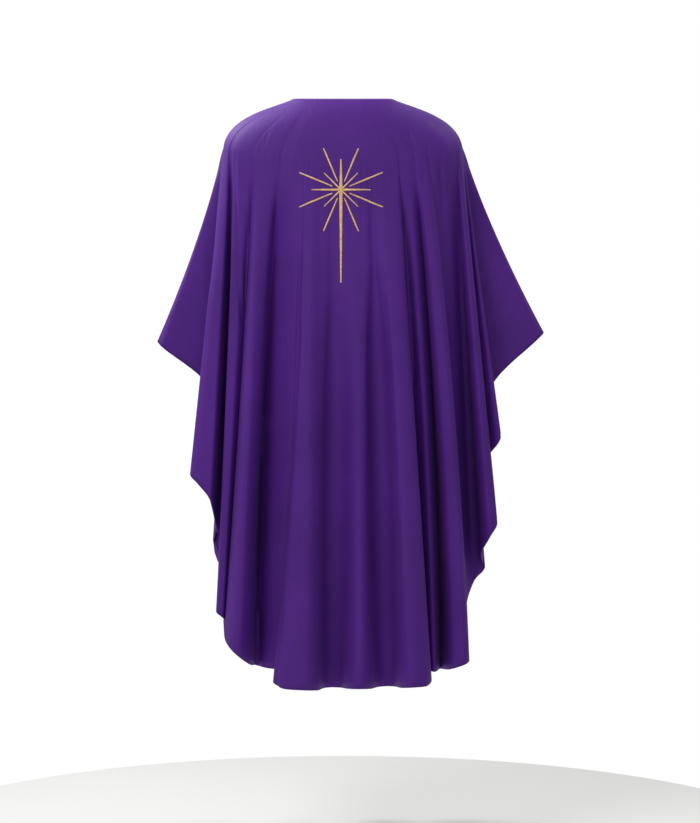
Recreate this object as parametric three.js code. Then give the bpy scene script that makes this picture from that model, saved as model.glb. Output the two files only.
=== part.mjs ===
// A chasuble: the sleeveless outer vestment, open at the neck, at both sides and at the hem.
// The cloth hangs from the shoulders in long folds. Each panel is a ruled drape: a neck edge runs
// over the shoulders to a yoke line, and straight folds fall from there to a scalloped hem.
//
// Millimetres. +X is the wearer's right, +Y the wearer's front, +Z up.
// The origin is the centre of the neck opening, level with the sides of the neck.
import * as THREE from "three";

// ---- Driving sizes ----
const HALF_SPAN = 450; // centre line to the tip of the wider wing
const LENGTH = 1280; // shoulder level to the hem at the centre back
const HEM_DEPTH = 256; // centre plane to the deepest fold crest at the hem
const PANEL_THICK = 2; // one panel of cloth with its bulk
const GAP = 0.3; // clearance between pieces that touch

// Neck opening
const NECK_HALF_WIDTH = 112;
const NECK_RISE = 7; // sides of the neck above the origin
const NECK_BACK_DEPTH = 70; // centre plane back to the neckline
const NECK_FRONT_DEPTH = 60;
const NECK_BACK_DROP = 6; // neckline at the centre below the sides of the neck
const NECK_FRONT_DROP = 120;

// Yoke line, where the cloth leaves the shoulders
const YOKE_HALF_WIDTH = 265;
const YOKE_SIDE_DROP = 96;
const YOKE_BACK_DEPTH = 128;
const YOKE_FRONT_DEPTH = 123;
const YOKE_BACK_DROP = 150;
const YOKE_FRONT_DROP = 190;
const SHOULDER_FULLNESS = 1.2; // how far the cloth rounds over the shoulders
const YOKE_FOLD_SHARE = 0.05; // depth of an early fold at the yoke, against its depth at the hem

// The smooth curve that the hem folds stand out from and fall back behind
const HEM_BASE_SIDE = 30;
const HEM_BASE_SWELL = 178;

// Pieces sewn to the panels
const HEM_TURN = 25; // depth of the turned hem
const HEM_THICK = 1.2;
const FACING_THICK = 1.2;
const FACING_ROWS = 3; // grid rows that the neck facing reaches down
const FACING_END_ANGLE = 84; // the facings stop short of the shoulder seams
const TAPE_WIDTH = 12;
const TAPE_THICK = 1.2;
const TAPE_START = 16; // from the neck edge, along the shoulder
const TAPE_END = 7; // short of the yoke, along the shoulder
const LABEL_WIDTH = 50;
const LABEL_DROP = 26; // from its top edge down to its bottom edge, as it slopes with the facing
const LABEL_THICK = 0.8;
const LABEL_BELOW_NECK = 18; // top edge of the label below the neckline
const LABEL_GAP = 1.2; // clearance measured front to back, where the facing slopes

// Star-cross motif, embroidered in satin stitch
const MOTIF_X = -4;
const MOTIF_BACK_Z = -205;
const MOTIF_FRONT_Z = -300;
const THREAD_THICK = 1.2;
const UPRIGHT_UP = 67; // centre of the star to the top of the upright
const UPRIGHT_DOWN = 203;
const UPRIGHT_WIDTH = 8;
const ARM_REACH = 64;
const ARM_WIDTH = 5.6;
const DIAGONAL_REACH = 37; // across and up
const DIAGONAL_WIDTH = 3.6;
const RAY_LONG = 91; // the longer and the shorter way of each ray's outer end
const RAY_SHORT = 38;
const RAY_START_LONG = 18.5;
const RAY_START_SHORT = 7.6;
const RAY_WIDTH = 4.4;
const STROKE_STEP = 6; // longest run of stitching between two stations
const STROKE_LIFT = 0.9; // thread bed above the cloth
const BACKING_MARGIN = 14; // stabiliser patch beyond the motif
const BACKING_THICK = 0.6;

// ---- Folds ----
// One row for each crest, flank and valley, across the panel from one shoulder line to the other:
// [angle round the yoke, then at the hem: across, out from the centre plane, height, start, bow].
// The sizes at the hem are for the nominal span, depth and length. start is how early a fold
// shows: 1 close under the shoulder, -1 only near the hem. bow is how far it swings sideways
// half way down.
const NOMINAL = { halfSpan: 450, depth: 256, length: 1280 };
const BACK_FOLDS = [
  [-90, -416, 0, -531, 0, 10],
  [-89, -403, 12, -543, 0, 9],
  [-86, -300, 6, -632, 0.3, 2],
  [-80, -334, 84, -822, 0.3, 0],
  [-75, -317, 104, -842, 0.4, 0],
  [-69.5, -291, 114, -876, 0.5, 0],
  [-66.5, -281, 42, -946, 1, 6],
  [-63.8, -270, 36, -990, 1, 6],
  [-61, -276, 90, -1118, 0.9, 6],
  [-56, -271, 128, -1124, 0.6, 0],
  [-49, -263, 130, -1131, 0.6, 0],
  [-42.5, -260, 104, -1140, 0.9, 4],
  [-40, -254, 144, -1176, 0.6, 4],
  [-36, -226, 192, -1207, 0.5, 0],
  [-29, -202, 164, -1229, 0.6, -6],
  [-23.5, -190, 84, -1241, 0.9, -14],
  [-19, -168, 112, -1243, 0.3, -4],
  [-15.6, -132, 134, -1246, -0.8, 8],
  [-12.8, -146, 204, -1262, -0.8, 10],
  [-11.2, -121, 246, -1271, 0, 4],
  [-9, -80, 258, -1272, 0, 0],
  [-4.5, -42, 236, -1275, -0.5, 0],
  [-1.5, -20, 178, -1278, -0.8, 0],
  [1, 4, 220, -1274, -0.8, 0],
  [4.2, 36, 246, -1271, -0.8, 0],
  [6, 68, 226, -1273, -0.5, 0],
  [8, 95, 174, -1276, -0.5, 0],
  [10, 121, 230, -1271, 0, 0],
  [12.5, 148, 252, -1267, 0.2, 0],
  [17, 177, 238, -1266, 0.3, 0],
  [19.8, 188, 205, -1259, 0.6, 0],
  [21.2, 189, 116, -1247, 0.8, 0],
  [25.5, 198, 148, -1247, 0.9, 8],
  [30, 215, 76, -1249, 0.9, 14],
  [33, 240, 162, -1238, 0.8, 12],
  [36, 261, 168, -1230, 0.8, 12],
  [38.5, 272, 146, -1224, 0.8, 12],
  [40.5, 268, 100, -1212, 0.8, 8],
  [47, 264, 84, -1190, 0.8, 2],
  [56, 272, 54, -1110, 0.7, 0],
  [62.5, 292, 20, -1062, 0.9, 2],
  [67, 314, 20, -1030, 0.9, 2],
  [70, 307, 60, -1000, 0.6, 2],
  [73.5, 325, 104, -954, 0.5, 0],
  [76.4, 337, 92, -930, 0.5, 0],
  [79.5, 322, 44, -790, 0.3, 0],
  [83, 347, 74, -743, 0.3, 0],
  [86.5, 325, 6, -650, 0.2, -2],
  [89.2, 438, 11, -522, 0, -9],
  [90, 450, 0, -511, 0, -10],
];
const FRONT_FOLDS = [
  [-90, -416, 0, -531, 0, 10],
  [-88, -403, 14, -543, 0, 9],
  [-84, -300, 20, -640, 0, 0],
  [-76, -326, 104, -800, 0.3, 0],
  [-70, -268, 46, -900, 0.5, 0],
  [-63, -300, 142, -994, 0.5, 0],
  [-52, -236, 74, -1120, 0.6, 0],
  [-42, -216, 200, -1205, 0.4, 0],
  [-35, -190, 148, -1225, 0.4, 0],
  [-29, -166, 58, -1238, 0.5, 0],
  [-22, -148, 116, -1246, 0.3, 0],
  [-17, -112, 234, -1260, 0, 0],
  [-11, -76, 250, -1264, -0.3, 0],
  [-6, -42, 176, -1268, -0.6, 0],
  [-1, -6, 150, -1270, -0.6, 0],
  [4, 32, 220, -1267, -0.6, 0],
  [10, 70, 252, -1264, -0.3, 0],
  [15, 102, 236, -1260, 0, 0],
  [20, 132, 118, -1248, 0.3, 0],
  [27, 154, 56, -1240, 0.5, 0],
  [33, 190, 166, -1228, 0.4, 0],
  [39, 208, 206, -1218, 0.4, 0],
  [48, 228, 74, -1150, 0.6, 0],
  [56, 285, 138, -1082, 0.5, 0],
  [63, 324, 116, -1042, 0.5, 0],
  [70, 290, 50, -930, 0.4, 0],
  [77, 337, 102, -800, 0.3, 0],
  [84, 318, 20, -640, 0, 0],
  [88.5, 435, 14, -524, 0, -9],
  [90, 450, 0, -511, 0, -10],
];
const COLUMN_STEP = 70; // longest run of hem between two grid columns
const SHOULDER_ROWS = 6; // grid rows from the neck to the yoke
const FALL_ROWS = 7; // grid rows from the yoke to the top of the turned hem

// ---- Colours ----
const PURPLE = 0x4d2873;
const PURPLE_INSIDE = 0x45236a;
const TAPE_PURPLE = 0x3d1f5c;
const GOLD = 0xcaa277;
const STABILISER = 0xe6e2da;
const LABEL_WHITE = 0xf1eee6;

const rad = THREE.MathUtils.degToRad;
const signedPower = (value, power) => Math.sign(value) * Math.abs(value) ** power;

// A smooth curve through points that never overshoots them (monotone cubic).
function curveThrough(xs, ys) {
  const n = xs.length;
  const steps = xs.slice(1).map((x, i) => x - xs[i]);
  const slopes = steps.map((step, i) => (ys[i + 1] - ys[i]) / step);
  const tangents = ys.map((_, i) => {
    if (i === 0) return slopes[0];
    if (i === n - 1) return slopes[n - 2];
    const before = slopes[i - 1];
    const after = slopes[i];
    if (before * after <= 0) return 0;
    const w1 = 2 * steps[i] + steps[i - 1];
    const w2 = steps[i] + 2 * steps[i - 1];
    return (w1 + w2) / (w1 / before + w2 / after);
  });
  return (x) => {
    let i = 0;
    while (i < n - 2 && x > xs[i + 1]) i += 1;
    const t = (x - xs[i]) / steps[i];
    const t2 = t * t;
    const t3 = t2 * t;
    return (
      (2 * t3 - 3 * t2 + 1) * ys[i] +
      (t3 - 2 * t2 + t) * steps[i] * tangents[i] +
      (3 * t2 - 2 * t3) * ys[i + 1] +
      (t3 - t2) * steps[i] * tangents[i + 1]
    );
  };
}

// One panel's inner face as a grid of points: rows from the neck to the hem, columns across.
// side is -1 for the back and 1 for the front.
function drapeGrid({ side, folds, yokeDepth, yokeDrop, neckDepth, neckDrop }) {
  const scaled = folds.map(([angle, across, out, height, start, bow]) => ({
    angle: rad(angle),
    across: (across * HALF_SPAN) / NOMINAL.halfSpan,
    out: (out * HEM_DEPTH) / NOMINAL.depth,
    height: (height * LENGTH) / NOMINAL.length,
    start,
    bow: (bow * HALF_SPAN) / NOMINAL.halfSpan,
  }));
  const run = [0];
  for (let i = 1; i < scaled.length; i += 1) {
    const a = scaled[i - 1];
    const b = scaled[i];
    run.push(run[i - 1] + Math.hypot(b.across - a.across, b.out - a.out, b.height - a.height));
  }
  const along = (key) => curveThrough(run, scaled.map((fold) => fold[key]));
  const curves = {};
  for (const key of ["angle", "across", "out", "height", "start", "bow"]) curves[key] = along(key);

  const stations = [];
  for (let i = 1; i < run.length; i += 1) {
    const parts = Math.ceil((run[i] - run[i - 1]) / COLUMN_STEP);
    for (let k = 0; k < parts; k += 1) {
      stations.push(run[i - 1] + ((run[i] - run[i - 1]) * k) / parts);
    }
  }
  stations.push(run[run.length - 1]);

  const columns = stations.map((u) => {
    const angle = curves.angle(u);
    const s = Math.sin(angle);
    const c = Math.max(0, Math.cos(angle));
    const start = curves.start(u);
    const bow = 4 * curves.bow(u);
    const hem = new THREE.Vector3(curves.across(u), curves.out(u), curves.height(u));
    const base = ((HEM_BASE_SIDE + HEM_BASE_SWELL * c ** 0.8) * HEM_DEPTH) / NOMINAL.depth;
    const fold = hem.y - base;
    const neck = new THREE.Vector3(
      NECK_HALF_WIDTH * signedPower(s, 0.6),
      neckDepth * c ** 0.6,
      NECK_RISE - neckDrop * c ** 1.3,
    );
    const yoke = new THREE.Vector3(
      YOKE_HALF_WIDTH * signedPower(s, 0.75),
      yokeDepth * c ** 0.55 + Math.max(0, start) * YOKE_FOLD_SHARE * fold,
      -YOKE_SIDE_DROP - (yokeDrop - YOKE_SIDE_DROP) * c,
    );
    const fall = new THREE.Vector3(hem.x - yoke.x, base - yoke.y, hem.z - yoke.z);
    const gather = (t) => fold * t * (1 + start * (1 - t));
    const hang = (t) =>
      new THREE.Vector3(
        yoke.x + fall.x * t + bow * t * (1 - t),
        yoke.y + fall.y * t + gather(t),
        yoke.z + fall.z * t,
      );
    const leave = fall.clone().add(new THREE.Vector3(bow, fold * (1 + start), 0)).normalize();
    const reach = neck.distanceTo(yoke) * SHOULDER_FULLNESS;
    const set = new THREE.Vector3(0.95 * s, 0.75 * c, -0.3 * Math.abs(s) - 0.75 * c).normalize();
    const overShoulder = (t) => {
      const t2 = t * t;
      const t3 = t2 * t;
      return new THREE.Vector3()
        .addScaledVector(neck, 2 * t3 - 3 * t2 + 1)
        .addScaledVector(set, (t3 - 2 * t2 + t) * reach)
        .addScaledVector(yoke, 3 * t2 - 2 * t3)
        .addScaledVector(leave, (t3 - t2) * reach);
    };
    const points = [];
    for (let i = 0; i < SHOULDER_ROWS; i += 1) points.push(overShoulder(i / SHOULDER_ROWS));
    const top = 1 - HEM_TURN / fall.length();
    for (let i = 0; i <= FALL_ROWS; i += 1) points.push(hang((top * i) / FALL_ROWS));
    points.push(hang(1));
    return { angle, points };
  });

  const place = (p) => new THREE.Vector3(p.x, side * (GAP / 2 + Math.max(0, p.y)), p.z);
  const rows = columns[0].points.map((_, r) => columns.map((column) => place(column.points[r])));
  return { rows, angles: columns.map((column) => column.angle), side };
}

// At each grid point, the mean normal of the faces round it, and the mitre: how much longer a step
// along it must be at a fold to move each of those faces out by one unit.
function gridNormals({ rows, side }) {
  const around = rows.map((row) => row.map(() => []));
  for (let r = 0; r + 1 < rows.length; r += 1) {
    for (let c = 0; c + 1 < rows[r].length; c += 1) {
      const corners = [[r, c], [r, c + 1], [r + 1, c + 1], [r + 1, c]];
      const [a, b, d, e] = corners.map(([i, j]) => rows[i][j]);
      const normal = d.clone().sub(a).cross(e.clone().sub(b)).normalize();
      corners.forEach(([i, j]) => around[i][j].push(normal.clone().multiplyScalar(side)));
    }
  }
  return around.map((row) =>
    row.map((faces) => {
      const mean = faces.reduce((sum, face) => sum.add(face), new THREE.Vector3()).normalize();
      const least = Math.min(...faces.map((face) => face.dot(mean)));
      return { mean, mitre: 1 / Math.max(least, 1e-3) };
    }),
  );
}

// A closed solid between two matching grids of points.
function slab(outer, inner) {
  const rows = outer.length;
  const columns = outer[0].length;
  const points = [...outer.flat(), ...inner.flat()];
  const at = (layer, r, c) => layer * rows * columns + r * columns + c;
  const index = [];
  const quad = (a, b, c, d) => index.push(a, b, c, a, c, d);
  for (let r = 0; r + 1 < rows; r += 1) {
    for (let c = 0; c + 1 < columns; c += 1) {
      quad(at(0, r, c), at(0, r, c + 1), at(0, r + 1, c + 1), at(0, r + 1, c));
      index.push(at(1, r, c), at(1, r + 1, c + 1), at(1, r, c + 1));
      index.push(at(1, r, c), at(1, r + 1, c), at(1, r + 1, c + 1));
    }
  }
  for (let c = 0; c + 1 < columns; c += 1) {
    quad(at(0, 0, c + 1), at(0, 0, c), at(1, 0, c), at(1, 0, c + 1));
    const r = rows - 1;
    quad(at(0, r, c), at(0, r, c + 1), at(1, r, c + 1), at(1, r, c));
  }
  for (let r = 0; r + 1 < rows; r += 1) {
    quad(at(0, r, 0), at(0, r + 1, 0), at(1, r + 1, 0), at(1, r, 0));
    const c = columns - 1;
    quad(at(0, r + 1, c), at(0, r, c), at(1, r, c), at(1, r + 1, c));
  }
  return solid(points, index);
}

// An indexed geometry whose faces point out, whichever way round they were given.
function solid(points, index) {
  let volume = 0;
  for (let i = 0; i < index.length; i += 3) {
    const [a, b, c] = [points[index[i]], points[index[i + 1]], points[index[i + 2]]];
    volume += a.dot(b.clone().cross(c));
  }
  if (volume < 0) {
    for (let i = 0; i < index.length; i += 3) {
      [index[i + 1], index[i + 2]] = [index[i + 2], index[i + 1]];
    }
  }
  const geometry = new THREE.BufferGeometry().setFromPoints(points);
  geometry.setIndex(index);
  geometry.computeVertexNormals();
  return geometry;
}

// A copy of the grid moved along its normals: out where distance is above 0, in where below.
// Outside a crest a long mitre would be a spike, but inside it the mitre keeps two flanks apart.
const LONGEST_MITRE = { out: 1.3, in: 4 };
const offset = (rows, normals, distance) => {
  const longest = distance > 0 ? LONGEST_MITRE.out : LONGEST_MITRE.in;
  return rows.map((row, r) =>
    row.map((p, c) => {
      const { mean, mitre } = normals[r][c];
      return p.clone().addScaledVector(mean, distance * Math.min(longest, mitre));
    }),
  );
};
const crop = (grid, r0, r1, c0, c1) => grid.slice(r0, r1 + 1).map((row) => row.slice(c0, c1 + 1));

const group = new THREE.Group();
group.name = "chasuble";

function addPiece(name, geometry, colour, roughness, metalness = 0) {
  const material = new THREE.MeshStandardMaterial({ color: colour, roughness, metalness });
  const mesh = new THREE.Mesh(geometry, material);
  mesh.name = name;
  group.add(mesh);
  return mesh;
}

// ---- Panels, hems and neck facings ----
const panels = {
  back: drapeGrid({
    side: -1,
    folds: BACK_FOLDS,
    yokeDepth: YOKE_BACK_DEPTH,
    yokeDrop: YOKE_BACK_DROP,
    neckDepth: NECK_BACK_DEPTH,
    neckDrop: NECK_BACK_DROP,
  }),
  front: drapeGrid({
    side: 1,
    folds: FRONT_FOLDS,
    yokeDepth: YOKE_FRONT_DEPTH,
    yokeDrop: YOKE_FRONT_DROP,
    neckDepth: NECK_FRONT_DEPTH,
    neckDrop: NECK_FRONT_DROP,
  }),
};

for (const [name, panel] of Object.entries(panels)) {
  const { rows, angles } = panel;
  const normals = gridNormals(panel);
  panel.inner = rows;
  panel.normals = normals;
  panel.outer = offset(rows, normals, PANEL_THICK);
  addPiece(`${name}_panel`, slab(panel.outer, panel.inner), PURPLE, 0.78);

  const lastRow = rows.length - 1;
  const lastColumn = rows[0].length - 1;
  const hem = (d) => crop(offset(rows, normals, -d), lastRow - 1, lastRow, 1, lastColumn - 1);
  addPiece(`${name}_turned_hem`, slab(hem(GAP), hem(GAP + HEM_THICK)), PURPLE_INSIDE, 0.8);

  const end = rad(FACING_END_ANGLE);
  const first = angles.findIndex((angle) => angle >= -end);
  const last = angles.findLastIndex((angle) => angle <= end);
  const facing = (d) => crop(offset(rows, normals, -d), 0, FACING_ROWS, first, last);
  const shape = slab(facing(GAP), facing(GAP + FACING_THICK));
  addPiece(`${name}_neck_facing`, shape, PURPLE_INSIDE, 0.8);
}

// ---- Height of a panel's face over a point, for the pieces that lie on it ----
// Casts along direction (0, 1 or 2 for X, Y or Z) through the triangles of a grid.
function castOnGrid(grid, axis) {
  const [p, q] = [0, 1, 2].filter((k) => k !== axis);
  const triangles = [];
  for (let r = 0; r + 1 < grid.length; r += 1) {
    for (let c = 0; c + 1 < grid[r].length; c += 1) {
      const [a, b, d, e] = [grid[r][c], grid[r][c + 1], grid[r + 1][c + 1], grid[r + 1][c]];
      for (const corners of [[a, b, d], [a, d, e]]) {
        triangles.push(corners.map((v) => v.toArray()));
      }
    }
  }
  return (u, v) => {
    const hits = [];
    for (const [a, b, c] of triangles) {
      const area = (b[p] - a[p]) * (c[q] - a[q]) - (c[p] - a[p]) * (b[q] - a[q]);
      if (Math.abs(area) < 1e-9) continue;
      const wb = ((u - a[p]) * (c[q] - a[q]) - (c[p] - a[p]) * (v - a[q])) / area;
      const wc = ((b[p] - a[p]) * (v - a[q]) - (u - a[p]) * (b[q] - a[q])) / area;
      if (wb < -1e-9 || wc < -1e-9 || wb + wc > 1 + 1e-9) continue;
      hits.push(a[axis] + wb * (b[axis] - a[axis]) + wc * (c[axis] - a[axis]));
    }
    return hits;
  };
}

// The outermost (or innermost) point of a panel over (x, z).
function faceFinder(grid, side) {
  const cast = castOnGrid(grid, 1);
  return (x, z) => {
    const hits = cast(x, z).map((y) => y * side);
    if (!hits.length) throw new Error(`the panel has no cloth at ${x}, ${z}`);
    return side * Math.max(...hits);
  };
}

// ---- Star-cross motif and its stabiliser ----
// A stroke is a satin-stitch column from one point to another, with a width at each end and one
// between, at a share of the way.
function strokeGeometry(stroke, faceY, side, centreZ) {
  const { from, to, widths, waist } = stroke;
  const start = new THREE.Vector2(...from);
  const way = new THREE.Vector2(...to).sub(start);
  const across = new THREE.Vector2(-way.y, way.x).normalize();
  const [w0, w1, w2] = widths;
  const stations = Math.ceil(way.length() / STROKE_STEP);
  const rows = { top: [], bottom: [] };
  for (let i = 0; i <= stations; i += 1) {
    const t = i / stations;
    const width = t < waist ? w0 + ((w1 - w0) * t) / waist : w1 + ((w2 - w1) * (t - waist)) / (1 - waist);
    const middle = start.clone().addScaledVector(way, t);
    for (const layer of ["bottom", "top"]) {
      const lift = layer === "bottom" ? STROKE_LIFT : STROKE_LIFT + THREAD_THICK;
      rows[layer].push(
        [-0.5, 0.5].map((share) => {
          const p = middle.clone().addScaledVector(across, share * width);
          const x = MOTIF_X + p.x;
          const z = centreZ + p.y;
          return new THREE.Vector3(x, faceY(x, z) + side * lift, z);
        }),
      );
    }
  }
  return slab(rows.top, rows.bottom);
}

const POINT = 2.2; // width of a stroke's tip
const CLEAR = UPRIGHT_WIDTH / 2 + 0.5; // the arms stop beside the upright
const upShare = UPRIGHT_UP / (UPRIGHT_UP + UPRIGHT_DOWN);
const strokes = {
  upright: {
    from: [0, UPRIGHT_UP],
    to: [0, -UPRIGHT_DOWN],
    widths: [2.4, UPRIGHT_WIDTH, 3],
    waist: upShare,
  },
};
for (const [side, sx] of [["left", -1], ["right", 1]]) {
  strokes[`arm_${side}`] = {
    from: [sx * CLEAR, 0],
    to: [sx * ARM_REACH, 0],
    widths: [ARM_WIDTH, ARM_WIDTH * 0.75, 2.4],
    waist: 0.5,
  };
  for (const [level, sz] of [["upper", 1], ["lower", -1]]) {
    strokes[`diagonal_${level}_${side}`] = {
      from: [sx * 9.5, sz * 9.5],
      to: [sx * DIAGONAL_REACH, sz * DIAGONAL_REACH],
      widths: [DIAGONAL_WIDTH, DIAGONAL_WIDTH * 0.8, POINT],
      waist: 0.5,
    };
    strokes[`steep_ray_${level}_${side}`] = {
      from: [sx * RAY_START_SHORT, sz * RAY_START_LONG],
      to: [sx * RAY_SHORT, sz * RAY_LONG],
      widths: [POINT, RAY_WIDTH, POINT],
      waist: 0.6,
    };
    strokes[`shallow_ray_${level}_${side}`] = {
      from: [sx * RAY_START_LONG, sz * RAY_START_SHORT],
      to: [sx * RAY_LONG, sz * RAY_SHORT],
      widths: [POINT, RAY_WIDTH, POINT],
      waist: 0.6,
    };
  }
}

for (const [name, panel] of Object.entries(panels)) {
  const { side } = panel;
  const centreZ = ((name === "back" ? MOTIF_BACK_Z : MOTIF_FRONT_Z) * LENGTH) / NOMINAL.length;
  const outerY = faceFinder(panel.outer, side);
  for (const [stroke, shape] of Object.entries(strokes)) {
    const geometry = strokeGeometry(shape, outerY, side, centreZ);
    addPiece(`${name}_star_${stroke}`, geometry, GOLD, 0.42, 0.55);
  }

  // The stabiliser patch follows the panel's own grid, so it lies flat against the cloth.
  const { inner, angles } = panel;
  const reach = RAY_LONG + BACKING_MARGIN;
  const covers = (row, z) => row[Math.floor(row.length / 2)].z > z;
  const top = inner.findLastIndex((row) => covers(row, centreZ + RAY_LONG));
  const bottom = inner.findIndex((row) => !covers(row, centreZ - UPRIGHT_DOWN));
  const first = angles.findIndex((_, c) => inner[top + 1][c].x >= MOTIF_X - reach);
  const last = angles.findLastIndex((_, c) => inner[top + 1][c].x <= MOTIF_X + reach);
  const patch = (d) => crop(offset(inner, panel.normals, -d), top, bottom, first, last);
  const backing = slab(patch(GAP), patch(GAP + BACKING_THICK));
  addPiece(`${name}_embroidery_backing`, backing, STABILISER, 0.9);
}

// ---- Shoulder seam tapes, under the line where the panels meet ----
const underBack = castOnGrid(panels.back.inner, 2);
const underFront = castOnGrid(panels.front.inner, 2);
for (const [name, sx] of [["left", -1], ["right", 1]]) {
  const half = TAPE_WIDTH / 2;
  const stations = 10;
  const top = [];
  for (let i = 0; i <= stations; i += 1) {
    const from = NECK_HALF_WIDTH + TAPE_START;
    const x = sx * (from + ((YOKE_HALF_WIDTH - TAPE_END - from) * i) / stations);
    const heights = [1, half / 2, half].flatMap((y) => [
      ...underBack(x, -y),
      ...underFront(x, y),
    ]);
    const z = Math.min(...heights.filter((height) => height > -YOKE_SIDE_DROP)) - 2 * GAP;
    top.push([-half, half].map((y) => new THREE.Vector3(x, y, z)));
  }
  const bottom = top.map((row) => row.map((p) => p.clone().setZ(p.z - TAPE_THICK)));
  addPiece(`shoulder_seam_tape_${name}`, slab(top, bottom), TAPE_PURPLE, 0.85);
}

// ---- Blank label inside the back of the neck ----
{
  const innerY = faceFinder(panels.back.inner, -1);
  const neckZ = NECK_RISE - NECK_BACK_DROP;
  // The facing slopes at about 45 degrees, so what lies under it shows root 2 as thick here.
  const seat = (GAP + FACING_THICK) * Math.SQRT2 + LABEL_GAP;
  const columns = 6;
  const label = (depth) =>
    [0, 0.5, 1].map((share) =>
      Array.from({ length: columns + 1 }, (_, c) => {
        const x = LABEL_WIDTH * (c / columns - 0.5);
        const z = neckZ - LABEL_BELOW_NECK - LABEL_DROP * share;
        return new THREE.Vector3(x, innerY(x, z) + seat + depth, z);
      }),
    );
  addPiece("neck_label", slab(label(0), label(LABEL_THICK)), LABEL_WHITE, 0.85);
}

export default group;
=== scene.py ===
# %% [markdown]
# A chasuble is a sleeveless outer vestment: two big panels of cloth joined over the shoulders, with
# a hole for the head, and open at the sides and the hem. It has no frame of its own. Its whole
# shape is the way cloth falls from a pair of shoulders, so this lesson spends most of its steps on
# folds, and then sews the small pieces on: hems, facings, a label and an embroidered star-cross.
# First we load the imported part. Everything below rides on its one body and keeps to its box.

import math

import bmesh
import bpy
import numpy as np
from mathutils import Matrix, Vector
from mathutils.bvhtree import BVHTree


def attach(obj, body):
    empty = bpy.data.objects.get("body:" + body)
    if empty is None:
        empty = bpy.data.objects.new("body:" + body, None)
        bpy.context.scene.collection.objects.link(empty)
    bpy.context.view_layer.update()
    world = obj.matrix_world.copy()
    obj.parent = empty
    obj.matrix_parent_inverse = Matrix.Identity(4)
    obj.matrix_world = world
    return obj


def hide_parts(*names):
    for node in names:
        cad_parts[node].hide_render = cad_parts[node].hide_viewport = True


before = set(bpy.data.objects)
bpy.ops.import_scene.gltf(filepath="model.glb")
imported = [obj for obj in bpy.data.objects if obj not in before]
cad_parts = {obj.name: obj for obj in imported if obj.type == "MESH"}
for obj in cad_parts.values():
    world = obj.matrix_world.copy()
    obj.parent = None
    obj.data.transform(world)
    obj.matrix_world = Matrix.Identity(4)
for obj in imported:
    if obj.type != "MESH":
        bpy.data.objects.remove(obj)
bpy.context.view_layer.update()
MM = 0.001

# %% [markdown]
# The camera stands level, 4.5 m behind the garment, a little below its middle. A long lens this
# far away keeps the near folds and the far ones at almost the same scale, as on a maker's drawing.

# %% Camera
CAMERA_DISTANCE, CAMERA_SIDE, CAMERA_HEIGHT = 4.5, 0.0157, -0.688
SENSOR, LENS = 36, 103.1
camera = bpy.data.objects.new("camera", bpy.data.cameras.new("camera"))
camera.data.sensor_fit = "HORIZONTAL"
camera.data.sensor_width = SENSOR
camera.data.lens = LENS
camera.location = (CAMERA_SIDE, -CAMERA_DISTANCE, CAMERA_HEIGHT)
camera.rotation_euler = (math.radians(90), 0, 0)
bpy.context.collection.objects.link(camera)
bpy.context.scene.camera = camera
print("field of view:", round(math.degrees(2 * math.atan(SENSOR / LENS / 2)), 1), "degrees across")

# %% [markdown]
# A cloth that hangs from a line, the yoke, falls in straight folds: each thread of the warp is close
# to a straight line from the yoke to the hem. So a panel can be drawn as a ruled surface. We write
# one row for each crest, flank and valley, and join the rows with a curve that never overshoots.
# Each row holds: the angle round the yoke, then at the hem how far across, how far out from the
# centre plane and how high, in millimetres, then how early the fold shows below the shoulder (0 is
# even, below 0 is late), and how far it bows to one side half way down, in millimetres again.

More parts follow.
